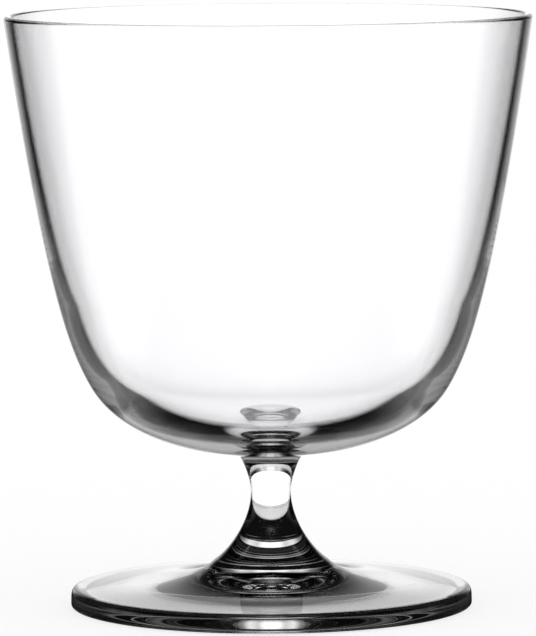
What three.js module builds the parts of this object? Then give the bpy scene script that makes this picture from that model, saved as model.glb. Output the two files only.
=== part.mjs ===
// A footed rocks glass: a tapered bowl on a short waisted stem and a round foot.
// Millimetres, +Z up. The origin is the centre of the ring that the foot rests on.
import * as THREE from "three";

// Bowl
const RIM_RADIUS = 45.5; // outside of the lip
const RIM_WALL = 1.35; // glass at the lip, which is a full round
const RIM_LEAN = 8.3; // degrees that the wall leans out from upright at the rim
const BOWL_HEIGHT = 76.2; // seat on the stem up to the top of the lip
const KNEE_RADIUS = 31.6; // outside of the knee between wall and underside
const KNEE_RISE = 12.9; // height of the knee above the seat
const KNEE_SLOPE = 62; // degrees from level at the knee, outside
const SHOULDER_PLACE = 0.46; // share of the way up the outer wall where the inside turns in
const SHOULDER_WALL = 2.12; // glass at the shoulder
const SHOULDER_TAPER = 4.2; // degrees by which the inside leans further than the outside there
const BOTTOM_WALL = 3.73; // glass between the seat and the lowest point inside
const UNDERSIDE_SLOPE = 5.4; // degrees from level where the underside leaves the seat

// Stem
const STEM_LENGTH = 18.3; // hub of the foot up to the seat of the bowl
const STEM_TOP_RADIUS = 5.7; // shared with the seat under the bowl
const STEM_TOP_LEAN = 47; // degrees from upright where the stem meets the bowl
const WAIST_RADIUS = 3.45;
const WAIST_RISE = 11.9; // height of the waist above the hub

// Foot
const FOOT_RADIUS = 34.8;
const FOOT_EDGE = 3.27; // height of the edge
const EDGE_ROUND = 0.5; // radius under the edge
const EDGE_SHOULDER = 1.6; // width of the round over the edge
const FOOT_TOP_SLOPE = 4.3; // degrees from level where the top meets the edge
const HUB_RADIUS = 9.6; // shared with the lower end of the stem
const HUB_HEIGHT = 8; // table up to the seat of the stem
const FLARE_SLOPE = 35.5; // degrees from level where stem and foot meet
const RESTING_RING = 2.3; // width of the flat ring that touches the table
const HOLLOW_DEPTH = 2.8; // rise of the underside inside the resting ring
const HOLLOW_SLOPE = 9; // degrees from level where the hollow leaves the ring

// Pull of each end of a curve on its middle, as a share of the straight distance between its ends
const UNDERSIDE_PULL = [0.67, 0.13];
const WALL_PULL = [0.11, 0.73];
const CAVITY_WALL_PULL = [0.23, 0.25];
const CAVITY_FLOOR_PULL = [0.33, 0.64];
const STEM_FLARE_PULL = [0.23, 0.38];
const STEM_TOP_PULL = [0.26, 0.18];
const EDGE_PULL = [0.64, 0.51];
const FOOT_TOP_PULL = [0.96, 0.1];
const HOLLOW_PULL = [0.11, 0.14];

// Glass: the thicker the piece, the less it lets through
const GLASS_COLOUR = 0xf3f6f6;
const GLASS_ROUGHNESS = 0.03;
const BOWL_OPACITY = 0.22;
const STEM_OPACITY = 0.3;
const FOOT_OPACITY = 0.26;

// Facets
const TURN_STEPS = 64;
const LONG_CURVE_STEPS = 12;
const SHORT_CURVE_STEPS = 7;
const ROUND_STEPS = 6;
const SAME_POINT = 1e-6; // closer points than this are one point of an outline

// Levels that neighbouring pieces share
const SEAT_LEVEL = HUB_HEIGHT + STEM_LENGTH;
const RIM_LEVEL = SEAT_LEVEL + BOWL_HEIGHT;

const point = (radius, level) => new THREE.Vector2(radius, level);
const radians = THREE.MathUtils.degToRad;
const degrees = THREE.MathUtils.radToDeg;

// Unit direction in the half plane, in degrees from level, turning up from outward.
function heading(angle) {
  return point(Math.cos(radians(angle)), Math.sin(radians(angle)));
}

function along(start, direction, distance) {
  return start.clone().addScaledVector(direction, distance);
}

// A curve that leaves one point and reaches another at the given headings.
function sweep(start, startHeading, end, endHeading, [startPull, endPull]) {
  const span = start.distanceTo(end);
  return new THREE.CubicBezierCurve(
    start,
    along(start, startHeading, startPull * span),
    along(end, endHeading, -endPull * span),
    end,
  );
}

// Points of an arc about a centre, from one angle to another, in degrees from outward.
function round(centre, radius, from, to) {
  const span = [radians(from), radians(to)];
  const curve = new THREE.EllipseCurve(centre.x, centre.y, radius, radius, ...span);
  return curve.getPoints(ROUND_STEPS);
}

// A solid of revolution about +Z. The outline runs anticlockwise and starts and ends on the axis.
function turned(name, outline, material) {
  const joined = outline.filter((p, i) => i === 0 || p.distanceTo(outline[i - 1]) > SAME_POINT);
  const geometry = new THREE.LatheGeometry(joined, TURN_STEPS);
  geometry.rotateX(Math.PI / 2);
  const mesh = new THREE.Mesh(geometry, material);
  mesh.name = name;
  return mesh;
}

function clearGlass(opacity) {
  return new THREE.MeshStandardMaterial({
    color: GLASS_COLOUR,
    roughness: GLASS_ROUGHNESS,
    metalness: 0,
    transparent: true,
    opacity,
  });
}

function makeBowl() {
  const lipRadius = RIM_WALL / 2;
  const lipCentre = point(RIM_RADIUS - lipRadius, RIM_LEVEL - lipRadius);
  const lip = round(lipCentre, lipRadius, -RIM_LEAN, 180 - RIM_LEAN);

  const seatEdge = point(STEM_TOP_RADIUS, SEAT_LEVEL);
  const knee = point(KNEE_RADIUS, SEAT_LEVEL + KNEE_RISE);
  const kneeUp = heading(KNEE_SLOPE);
  const underside = sweep(seatEdge, heading(UNDERSIDE_SLOPE), knee, kneeUp, UNDERSIDE_PULL);
  const wall = sweep(knee, kneeUp, lip[0], heading(90 - RIM_LEAN), WALL_PULL);

  const shoulderSlope = degrees(wall.getTangent(SHOULDER_PLACE).angle());
  const inward = heading(shoulderSlope + 90);
  const shoulder = along(wall.getPoint(SHOULDER_PLACE), inward, SHOULDER_WALL);
  const shoulderDown = heading(shoulderSlope - SHOULDER_TAPER + 180);
  const cavityBottom = point(0, SEAT_LEVEL + BOTTOM_WALL);
  const cavityWall = sweep(
    lip[ROUND_STEPS], heading(-90 - RIM_LEAN), shoulder, shoulderDown, CAVITY_WALL_PULL,
  );
  const cavityFloor = sweep(shoulder, shoulderDown, cavityBottom, heading(180), CAVITY_FLOOR_PULL);

  const outline = [
    point(0, SEAT_LEVEL),
    ...underside.getPoints(LONG_CURVE_STEPS),
    ...wall.getPoints(LONG_CURVE_STEPS),
    ...lip,
    ...cavityWall.getPoints(LONG_CURVE_STEPS),
    ...cavityFloor.getPoints(LONG_CURVE_STEPS),
  ];
  return turned("bowl", outline, clearGlass(BOWL_OPACITY));
}

function makeStem() {
  const foot = point(HUB_RADIUS, HUB_HEIGHT);
  const waist = point(WAIST_RADIUS, HUB_HEIGHT + WAIST_RISE);
  const top = point(STEM_TOP_RADIUS, SEAT_LEVEL);
  const up = heading(90);
  const flare = sweep(foot, heading(180 - FLARE_SLOPE), waist, up, STEM_FLARE_PULL);
  const neck = sweep(waist, up, top, heading(90 - STEM_TOP_LEAN), STEM_TOP_PULL);
  const outline = [
    point(0, HUB_HEIGHT),
    ...flare.getPoints(SHORT_CURVE_STEPS),
    ...neck.getPoints(SHORT_CURVE_STEPS),
    point(0, SEAT_LEVEL),
  ];
  return turned("stem", outline, clearGlass(STEM_OPACITY));
}

function makeFoot() {
  const edgeCentre = point(FOOT_RADIUS - EDGE_ROUND, EDGE_ROUND);
  const edge = round(edgeCentre, EDGE_ROUND, -90, 0);
  const topEdge = point(FOOT_RADIUS - EDGE_SHOULDER, FOOT_EDGE);
  const topIn = heading(180 - FOOT_TOP_SLOPE);
  const shoulder = sweep(edge[ROUND_STEPS], heading(90), topEdge, topIn, EDGE_PULL);
  const hub = point(HUB_RADIUS, HUB_HEIGHT);
  const top = sweep(topEdge, topIn, hub, heading(180 - FLARE_SLOPE), FOOT_TOP_PULL);
  const ringInside = point(edgeCentre.x - RESTING_RING, 0);
  const hollowTop = point(0, HOLLOW_DEPTH);
  const hollow = sweep(hollowTop, heading(0), ringInside, heading(-HOLLOW_SLOPE), HOLLOW_PULL);
  const outline = [
    ...hollow.getPoints(SHORT_CURVE_STEPS),
    ...edge,
    ...shoulder.getPoints(SHORT_CURVE_STEPS),
    ...top.getPoints(LONG_CURVE_STEPS),
    point(0, HUB_HEIGHT),
  ];
  return turned("foot", outline, clearGlass(FOOT_OPACITY));
}

const glass = new THREE.Group();
glass.name = "rocks_glass";
glass.add(makeBowl(), makeStem(), makeFoot());

export default glass;
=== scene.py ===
"""A clear footed rocks glass on a white table: bowl, stem and foot as finely turned pieces."""
import math

import bpy
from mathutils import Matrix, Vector


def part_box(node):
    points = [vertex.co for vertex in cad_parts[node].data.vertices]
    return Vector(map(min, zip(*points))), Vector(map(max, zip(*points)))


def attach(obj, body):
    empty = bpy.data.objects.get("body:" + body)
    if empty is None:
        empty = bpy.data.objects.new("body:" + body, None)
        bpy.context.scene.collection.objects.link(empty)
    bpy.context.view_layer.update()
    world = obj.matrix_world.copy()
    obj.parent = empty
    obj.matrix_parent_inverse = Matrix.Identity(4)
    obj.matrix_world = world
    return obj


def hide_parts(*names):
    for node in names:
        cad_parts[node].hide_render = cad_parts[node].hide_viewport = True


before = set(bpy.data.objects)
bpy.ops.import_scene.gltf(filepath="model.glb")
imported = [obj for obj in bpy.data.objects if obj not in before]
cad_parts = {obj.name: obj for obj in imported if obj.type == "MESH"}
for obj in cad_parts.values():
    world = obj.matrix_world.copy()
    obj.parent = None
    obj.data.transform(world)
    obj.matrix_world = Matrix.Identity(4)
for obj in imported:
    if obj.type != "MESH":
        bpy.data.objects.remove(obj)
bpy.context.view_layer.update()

MM = 0.001

# Sizes that the frame gives, in millimetres
bowl_low, bowl_high = (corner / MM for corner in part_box("bowl"))
_, stem_high = (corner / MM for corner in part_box("stem"))
_, foot_high = (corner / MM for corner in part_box("foot"))
RIM_RADIUS = bowl_high.x
RIM_LEVEL = bowl_high.z
SEAT_LEVEL = bowl_low.z
HUB_RADIUS = stem_high.x
HUB_LEVEL = foot_high.z
FOOT_RADIUS = foot_high.x

# The rest of the outline, in millimetres and degrees, as the solids have it
RIM_WALL = 1.35
RIM_LEAN = 8.3
KNEE_RADIUS = 31.6
KNEE_RISE = 12.9
KNEE_SLOPE = 62
SHOULDER_PLACE = 0.46  # share of the way up the outer wall
SHOULDER_WALL = 2.12
SHOULDER_TAPER = 4.2
BOTTOM_WALL = 3.73
UNDERSIDE_SLOPE = 5.4
STEM_TOP_RADIUS = 5.7
STEM_TOP_LEAN = 47
WAIST_RADIUS = 3.45
WAIST_RISE = 11.9
FOOT_EDGE = 3.27
EDGE_ROUND = 0.5
EDGE_SHOULDER = 1.6
FOOT_TOP_SLOPE = 4.3
FLARE_SLOPE = 35.5
RESTING_RING = 2.3
HOLLOW_DEPTH = 2.8
HOLLOW_SLOPE = 9

# Pull of each end of a curve on its middle, as a share of the straight distance between its ends
UNDERSIDE_PULL = (0.67, 0.13)
WALL_PULL = (0.11, 0.73)
CAVITY_WALL_PULL = (0.23, 0.25)
CAVITY_FLOOR_PULL = (0.33, 0.64)
STEM_FLARE_PULL = (0.23, 0.38)
STEM_TOP_PULL = (0.26, 0.18)
EDGE_PULL = (0.64, 0.51)
FOOT_TOP_PULL = (0.96, 0.1)
HOLLOW_PULL = (0.11, 0.14)

# Fineness of the turned surfaces
TURN_STEPS = 288
CURVE_STEPS = 64
ROUND_STEPS = 20
SAME_DIGITS = 5  # decimal places in which one point of an outline is another

# Camera of the photograph, in millimetres, degrees and pixels
IMAGE_SIZE = (536, 636)
CAMERA_DISTANCE = 966
CAMERA_HEIGHT = 143.8
CAMERA_PITCH = 5.46
CAMERA_ROLL = 0.35
FOCAL_PIXELS = 5610
AXIS_COLUMN = 266.5
HORIZON_ROW = 309
SENSOR = 36
CAMERA_REACH = 100  # metres

# Glass: cords in its surface, and smears that dull and tint it
GLASS_IOR = 1.52
CORD_SCALE = 90
CORD_DETAIL = 2
CORD_HEIGHT = 0.000001  # metres
SMEAR_SCALE = 45
SMEAR_DETAIL = 5
SMEAR_SPAN = (0.35, 0.7)
ROUGHNESS = (0.0, 0.006)
CLEAR = (0.994, 0.992, 1.0, 1)
SMEARED = (0.985, 0.983, 0.994, 1)

# Painted shade in the glass's colour, from face-on to edge-on, and painted shade in thick glass,
# by turns inside it
PAINTED_EDGE_SHADE = ((0.5, 1.0), (0.62, 0.93), (0.7, 0.89), (0.76, 0.88), (0.82, 0.79), (0.9, 0.14))
THICK_PAINTED_SHADE = ((0, 1.0), (1, 1.0), (2, 0.8), (3, 0.3), (4, 0.05), (6, 0.01), (9, 0.002))

# Longest path of light inside the glass, in turns
BOUNCES = 96

# White table, in metres, and white room
FLOOR_RADIUS = 6.0
FLOOR_SIDES = 96
FLOOR_DROP = 0.0002
FLOOR_WHITE = 0.3
ROOM = 1.0

# Brightness seen through the glass, after many turns inside it, and guided by its wall for more
SEEN_THROUGH = 1.22
ROUND_TURNS = 10
ROUND_ROOM = 0.36
ROUND_TABLE = 0.08
GUIDED_TURNS = 46
GUIDED_LIGHT = 0.9
HALF_COUNT = 0.5  # half the step from one count to the next

# Soft boxes that the glass mirrors, by degrees from straight ahead, and by degrees of height
BOX_SIDES = 4
BOX_STOPS = ((0, 1.3), (4, 1.28), (8, 0.7), (14, 0.9), (20, 0.25), (30, 0.005), (38, 0.001))
BOX_TOP = (6.6, 24.6)

# Painted reflection on the table, seen only in the glass's mirror, by millimetres from the axis:
# painted shade near the foot, then painted light of the soft boxes
TABLE_EDGE = (34, 44)
NEAR_PAINTED_SHADE = (0.005, 0.025)
TABLE_RISE = (32.4, 122.6)
TABLE_REACH = (203, 421)
TABLE_BASE = 0.05
TABLE_BOXES = 0.98

# Painted shadow on the table under the foot, by millimetres from the axis, seen through the foot;
# seen through the bowl too it is painted paler, with painted light near the axis in the glass's
# mirror
FOOT_SHADE = (
    (6, 0.32), (10, 0.2), (16, 0.12), (19, 0.15), (22, 0.46),
    (25, 0.55), (30, 0.54), (35, 0.95), (38, 1.0),
)
DEEP_FACES = 4
DEEP_SHADE = 0.8
DEEP_CORE = (6, 14)


def heading(angle):
    """Unit direction in the half plane, in degrees from level."""
    return Vector((math.cos(math.radians(angle)), math.sin(math.radians(angle))))


def bezier(start, start_angle, end, end_angle, pull):
    """Control points of a curve that leaves one point and reaches another at these angles."""
    start, end = Vector(start), Vector(end)
    span = (end - start).length
    first = start + pull[0] * span * heading(start_angle)
    second = end - pull[1] * span * heading(end_angle)
    return start, first, second, end


def spot(controls, t):
    """Point and tangent at a share of the way along a curve."""
    start, first, second, end = controls
    u = 1 - t
    point = u**3 * start + 3 * u * u * t * first + 3 * u * t * t * second + t**3 * end
    tangent = u * u * (first - start) + 2 * u * t * (second - first) + t * t * (end - second)
    return point, tangent.normalized()


def sweep(*ends):
    """Points and tangents along the curve between two ends."""
    controls = bezier(*ends)
    return [spot(controls, i / CURVE_STEPS) for i in range(CURVE_STEPS + 1)]


def arc(centre, radius, start, end):
    """Points and tangents of an arc, anticlockwise from one angle to another in degrees."""
    curve = []
    for i in range(ROUND_STEPS + 1):
        angle = start + (end - start) * i / ROUND_STEPS
        curve.append((Vector(centre) + radius * heading(angle), heading(angle + 90)))
    return curve


def level(start, end):
    """A straight curve between two points."""
    start, end = Vector(start), Vector(end)
    along = (end - start).normalized()
    return [(start, along), (end, along)]


def turned(name, outline, material):
    """A surface of revolution about +Z, with the exact normals of its curves."""
    turns = [2 * math.pi * k / TURN_STEPS for k in range(TURN_STEPS)]
    vertices, rings = [], {}

    def ring(point):
        key = (round(point.x, SAME_DIGITS), round(point.y, SAME_DIGITS))
        if key not in rings:
            first = len(vertices)
            if key[0] == 0:
                rings[key] = [first] * TURN_STEPS
                vertices.append((0, 0, point.y * MM))
            else:
                rings[key] = range(first, first + TURN_STEPS)
                radius = point.x * MM
                vertices.extend(
                    (radius * math.cos(turn), radius * math.sin(turn), point.y * MM)
                    for turn in turns
                )
        return rings[key]

    def normal(tangent, turn):
        return (tangent.y * math.cos(turn), tangent.y * math.sin(turn), -tangent.x)

    faces, normals = [], []
    for curve in outline:
        for (a, a_tangent), (b, b_tangent) in zip(curve, curve[1:]):
            low, high = ring(a), ring(b)
            for k in range(TURN_STEPS):
                n = (k + 1) % TURN_STEPS
                corners = {}  # on the axis two corners are one, and the face is a triangle
                for index, tangent, turn in (
                    (low[k], a_tangent, turns[k]),
                    (low[n], a_tangent, turns[n]),
                    (high[n], b_tangent, turns[n]),
                    (high[k], b_tangent, turns[k]),
                ):
                    corners.setdefault(index, normal(tangent, turn))
                faces.append(tuple(corners))
                normals.extend(corners.values())
    mesh = bpy.data.meshes.new(name)
    mesh.from_pydata(vertices, [], faces)
    mesh.shade_smooth()
    mesh.normals_split_custom_set(normals)
    mesh.materials.append(material)
    piece = bpy.data.objects.new(name, mesh)
    bpy.context.scene.collection.objects.link(piece)
    return piece


def bowl_outline():
    """Curves from the seat, up outside, over the lip and down to the cavity's bottom."""
    lip_radius = RIM_WALL / 2
    lip_centre = (RIM_RADIUS - lip_radius, RIM_LEVEL - lip_radius)
    lip = arc(lip_centre, lip_radius, -RIM_LEAN, 180 - RIM_LEAN)
    knee = (KNEE_RADIUS, SEAT_LEVEL + KNEE_RISE)
    seat_edge = (STEM_TOP_RADIUS, SEAT_LEVEL)
    wall = (knee, KNEE_SLOPE, lip[0][0], 90 - RIM_LEAN, WALL_PULL)
    outside, upward = spot(bezier(*wall), SHOULDER_PLACE)
    slope = math.degrees(math.atan2(upward.y, upward.x))
    shoulder = outside + SHOULDER_WALL * heading(slope + 90)
    down = slope - SHOULDER_TAPER + 180
    cavity_bottom = (0, SEAT_LEVEL + BOTTOM_WALL)
    return [
        sweep(seat_edge, UNDERSIDE_SLOPE, knee, KNEE_SLOPE, UNDERSIDE_PULL),
        sweep(*wall),
        lip,
        sweep(lip[-1][0], -90 - RIM_LEAN, shoulder, down, CAVITY_WALL_PULL),
        sweep(shoulder, down, cavity_bottom, 180, CAVITY_FLOOR_PULL),
    ]


def stem_outline():
    """Curves from the hub up to the seat of the bowl."""
    waist = (WAIST_RADIUS, HUB_LEVEL + WAIST_RISE)
    top = (STEM_TOP_RADIUS, SEAT_LEVEL)
    return [
        sweep((HUB_RADIUS, HUB_LEVEL), 180 - FLARE_SLOPE, waist, 90, STEM_FLARE_PULL),
        sweep(waist, 90, top, 90 - STEM_TOP_LEAN, STEM_TOP_PULL),
    ]


def foot_outline():
    """Curves from the middle of the hollow out to the edge and up to the hub."""
    edge_centre = (FOOT_RADIUS - EDGE_ROUND, EDGE_ROUND)
    edge = arc(edge_centre, EDGE_ROUND, -90, 0)
    top_edge = (FOOT_RADIUS - EDGE_SHOULDER, FOOT_EDGE)
    ring_inside = (edge_centre[0] - RESTING_RING, 0)
    hub = (HUB_RADIUS, HUB_LEVEL)
    inward = 180 - FOOT_TOP_SLOPE
    return [
        sweep((0, HOLLOW_DEPTH), 0, ring_inside, -HOLLOW_SLOPE, HOLLOW_PULL),
        level(ring_inside, edge[0][0]),
        edge,
        sweep(edge[-1][0], 90, top_edge, inward, EDGE_PULL),
        sweep(top_edge, inward, hub, 180 - FLARE_SLOPE, FOOT_TOP_PULL),
    ]


def calc(tree, operation, *values):
    """Output of a Math node on numbers or sockets."""
    node = tree.nodes.new("ShaderNodeMath")
    node.operation = operation
    for socket, value in zip(node.inputs, values):
        if isinstance(value, bpy.types.NodeSocket):
            tree.links.new(value, socket)
        else:
            socket.default_value = value
    return node.outputs[0]


def smooth(tree, value, span, ends):
    """Output of a smooth Map Range node, from a span of the value to a pair of end values."""
    node = tree.nodes.new("ShaderNodeMapRange")
    node.interpolation_type = "SMOOTHSTEP"
    tree.links.new(value, node.inputs["Value"])
    for name, number in zip(("From Min", "From Max", "To Min", "To Max"), (*span, *ends)):
        node.inputs[name].default_value = number
    return node.outputs[0]


def ramp(tree, value, stops):
    """Output of a Color Ramp node, from stops of the value and the brightness there."""
    reach = stops[-1][0]
    node = tree.nodes.new("ShaderNodeValToRGB")
    tree.links.new(calc(tree, "DIVIDE", value, reach), node.inputs["Fac"])
    elements = node.color_ramp.elements
    while len(elements) < len(stops):
        elements.new(1.0)
    for element, (place, bright) in zip(elements, stops):
        element.position = place / reach
        element.color = (bright, bright, bright, 1)
    return node.outputs["Color"]


def noise(tree, place, scale, detail):
    """Value of a Noise Texture node."""
    node = tree.nodes.new("ShaderNodeTexNoise")
    tree.links.new(place, node.inputs["Vector"])
    node.inputs["Scale"].default_value = scale
    node.inputs["Detail"].default_value = detail
    return node.outputs["Fac"]


def clear_glass(name, painted_turn_shade=None):
    """Clear glass with faint cords and smears, and painted shade: darker towards its edges, and
    thick glass darker after more turns.
    """
    material = bpy.data.materials.new(name)
    material.use_nodes = True
    tree = material.node_tree
    nodes, links = tree.nodes, tree.links
    shader = nodes["Principled BSDF"]
    shader.inputs["IOR"].default_value = GLASS_IOR
    shader.inputs["Transmission Weight"].default_value = 1.0

    place = nodes.new("ShaderNodeTexCoord").outputs["Object"]
    smears = noise(tree, place, SMEAR_SCALE, SMEAR_DETAIL)
    links.new(smooth(tree, smears, SMEAR_SPAN, ROUGHNESS), shader.inputs["Roughness"])
    bump = nodes.new("ShaderNodeBump")
    bump.inputs["Distance"].default_value = CORD_HEIGHT
    links.new(noise(tree, place, CORD_SCALE, CORD_DETAIL), bump.inputs["Height"])
    links.new(bump.outputs["Normal"], shader.inputs["Normal"])

    # Painted shade: the glass's colour darkens from face-on to edge-on
    painted_shade = ramp(tree, nodes.new("ShaderNodeLayerWeight").outputs["Facing"], PAINTED_EDGE_SHADE)
    # Painted shade in thick glass: its colour darkens after more turns inside it
    if painted_turn_shade:
        turns = nodes.new("ShaderNodeLightPath").outputs["Glossy Depth"]
        painted_shade = calc(tree, "MULTIPLY", painted_shade, ramp(tree, turns, painted_turn_shade))
    tint = nodes.new("ShaderNodeMix")
    tint.data_type = "RGBA"
    tint.blend_type = "MULTIPLY"
    tint.inputs["Factor"].default_value = 1
    colour = nodes.new("ShaderNodeMix")
    colour.data_type = "RGBA"
    links.new(smears, colour.inputs["Factor"])
    colour.inputs["A"].default_value = CLEAR
    colour.inputs["B"].default_value = SMEARED
    links.new(colour.outputs["Result"], tint.inputs["A"])
    links.new(painted_shade, tint.inputs["B"])
    links.new(tint.outputs["Result"], shader.inputs["Base Color"])
    return material


def at_least(tree, count, least):
    """Mask of the rays whose count reaches a number."""
    return calc(tree, "GREATER_THAN", count, least - HALF_COUNT)


def kinds_of_ray(tree):
    """Masks of rays through the glass, mirrored in it, run round inside it and guided by it."""
    path = tree.nodes.new("ShaderNodeLightPath")
    unlit = calc(tree, "LESS_THAN", path.outputs["Diffuse Depth"], HALF_COUNT)
    turns = path.outputs["Glossy Depth"]
    bounced, round_inside, guided = (
        calc(tree, "MULTIPLY", unlit, at_least(tree, turns, least))
        for least in (1, ROUND_TURNS, GUIDED_TURNS)
    )
    clean = calc(tree, "SUBTRACT", unlit, bounced)
    through = calc(tree, "MULTIPLY", clean, path.outputs["Is Transmission Ray"])
    mirrored = calc(tree, "SUBTRACT", bounced, round_inside)
    return through, mirrored, calc(tree, "SUBTRACT", round_inside, guided), guided


def by_kind(tree, *brightness):
    """Brightness that each kind of ray sees, and the mask of all these kinds together."""
    seen, share = 0.0, 0.0
    for mask, value in zip(kinds_of_ray(tree), brightness):
        seen = calc(tree, "MULTIPLY_ADD", mask, value, seen)
        share = calc(tree, "ADD", mask, share)
    return seen, share


def soft_boxes(tree, x, y):
    """Brightness by direction round the table: white ahead on each side, dark in the corners."""
    turn = calc(tree, "ARCTAN2", x, y)
    aside = calc(tree, "PINGPONG", turn, math.pi / BOX_SIDES)
    return ramp(tree, calc(tree, "DEGREES", aside), BOX_STOPS)


def studio_world():
    """An even white room, in which the glass mirrors the soft boxes."""
    world = bpy.data.worlds.new("studio")
    bpy.context.scene.world = world
    world.use_nodes = True
    tree = world.node_tree
    coordinates = tree.nodes.new("ShaderNodeTexCoord")
    split = tree.nodes.new("ShaderNodeSeparateXYZ")
    tree.links.new(coordinates.outputs["Generated"], split.inputs[0])
    boxes = soft_boxes(tree, split.outputs["X"], split.outputs["Y"])
    top = [math.sin(math.radians(angle)) for angle in BOX_TOP]
    boxes = calc(tree, "MULTIPLY", boxes, smooth(tree, split.outputs["Z"], top, (1, 0)))
    seen, share = by_kind(tree, SEEN_THROUGH, boxes, ROUND_ROOM, GUIDED_LIGHT)
    plain = calc(tree, "SUBTRACT", 1.0, share)
    background = tree.nodes["Background"]
    background.inputs["Color"].default_value = (ROOM, ROOM, ROOM, 1)
    tree.links.new(calc(tree, "ADD", plain, seen), background.inputs["Strength"])


def studio_floor():
    """A white table that keeps the shadow. To rays through the glass or mirrored in it, it shows
    painted light and shade: a painted shadow under the foot, painted shade near it and a painted
    reflection of the soft boxes.
    """
    bpy.ops.mesh.primitive_circle_add(
        vertices=FLOOR_SIDES, radius=FLOOR_RADIUS, fill_type="NGON", location=(0, 0, -FLOOR_DROP)
    )
    floor = bpy.context.object
    floor.name = "floor"
    material = bpy.data.materials.new("white_table")
    material.use_nodes = True
    tree = material.node_tree
    nodes, links = tree.nodes, tree.links
    nodes.remove(nodes["Principled BSDF"])
    matt = nodes.new("ShaderNodeBsdfDiffuse")
    matt.inputs["Color"].default_value = (FLOOR_WHITE, FLOOR_WHITE, FLOOR_WHITE, 1)
    lift = nodes.new("ShaderNodeEmission")
    straight = nodes.new("ShaderNodeLightPath").outputs["Is Camera Ray"]
    links.new(calc(tree, "MULTIPLY", straight, 1 - FLOOR_WHITE), lift.inputs["Strength"])
    lifted = nodes.new("ShaderNodeAddShader")
    links.new(matt.outputs[0], lifted.inputs[0])
    links.new(lift.outputs[0], lifted.inputs[1])

    place = nodes.new("ShaderNodeNewGeometry")
    split = nodes.new("ShaderNodeSeparateXYZ")
    links.new(place.outputs["Position"], split.inputs[0])
    x, y = split.outputs["X"], split.outputs["Y"]
    squares = calc(tree, "MULTIPLY_ADD", x, x, calc(tree, "MULTIPLY", y, y))
    radius = calc(tree, "DIVIDE", calc(tree, "SQRT", squares), MM)
    # Painted reflection: painted shade near the foot, painted light of the soft boxes further out
    away = smooth(tree, radius, TABLE_RISE, (0, 1))
    base = smooth(tree, radius, TABLE_REACH, (TABLE_BASE, 0))
    painted_box_light = calc(tree, "MULTIPLY_ADD", soft_boxes(tree, x, y), TABLE_BOXES, base)
    faces = nodes.new("ShaderNodeLightPath").outputs["Transmission Depth"]
    deep = at_least(tree, faces, DEEP_FACES)
    # Painted light near the axis, for rays through four or more faces
    painted_core_light = calc(tree, "MULTIPLY", deep, smooth(tree, radius, DEEP_CORE, (DEEP_SHADE, 0)))
    painted_near_light_and_shade = calc(tree, "ADD", smooth(tree, radius, TABLE_EDGE, NEAR_PAINTED_SHADE), painted_core_light)
    near = calc(tree, "MULTIPLY", calc(tree, "SUBTRACT", 1.0, away), painted_near_light_and_shade)
    painted_reflection = calc(tree, "MULTIPLY_ADD", away, painted_box_light, near)
    # Painted shadow under the foot, seen through the glass, painted paler through the bowl's
    # bottom
    painted_shadow = calc(tree, "MULTIPLY", deep, DEEP_SHADE)
    painted_shadow = calc(tree, "MAXIMUM", painted_shadow, ramp(tree, radius, FOOT_SHADE))
    shade = calc(tree, "MULTIPLY", painted_shadow, SEEN_THROUGH)
    painted_image = nodes.new("ShaderNodeEmission")
    seen, share = by_kind(tree, shade, painted_reflection, ROUND_TABLE, GUIDED_LIGHT)
    links.new(seen, painted_image.inputs["Strength"])

    mix = nodes.new("ShaderNodeMixShader")
    links.new(share, mix.inputs[0])
    links.new(lifted.outputs[0], mix.inputs[1])
    links.new(painted_image.outputs[0], mix.inputs[2])
    links.new(mix.outputs[0], nodes["Material Output"].inputs["Surface"])
    floor.data.materials.append(material)


def photo_camera():
    """The photograph's viewpoint and framing."""
    data = bpy.data.cameras.new("camera")
    data.sensor_width = SENSOR
    data.lens = FOCAL_PIXELS * SENSOR / max(IMAGE_SIZE)
    data.clip_end = CAMERA_REACH
    data.shift_x = (IMAGE_SIZE[0] / 2 - AXIS_COLUMN) / max(IMAGE_SIZE)
    data.shift_y = (HORIZON_ROW - IMAGE_SIZE[1] / 2) / max(IMAGE_SIZE)
    camera = bpy.data.objects.new("camera", data)
    camera.location = (0, -CAMERA_DISTANCE * MM, CAMERA_HEIGHT * MM)
    camera.rotation_euler = (math.radians(90 - CAMERA_PITCH), math.radians(CAMERA_ROLL), 0)
    bpy.context.scene.collection.objects.link(camera)
    bpy.context.scene.camera = camera


thin = clear_glass("bowl_glass")
thick = clear_glass("foot_glass", THICK_PAINTED_SHADE)
pieces = (
    ("bowl", bowl_outline(), thin),
    ("stem", stem_outline(), thick),
    ("foot", foot_outline(), thick),
)
for node, outline, glass in pieces:
    piece = turned(f"{node}_glass", outline, glass)
    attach(piece, "root")
    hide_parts(node)

photo_camera()
studio_floor()
studio_world()

scene = bpy.context.scene
scene.view_settings.view_transform = "Standard"
scene.cycles.max_bounces = BOUNCES
scene.cycles.transmission_bounces = BOUNCES
scene.cycles.glossy_bounces = BOUNCES
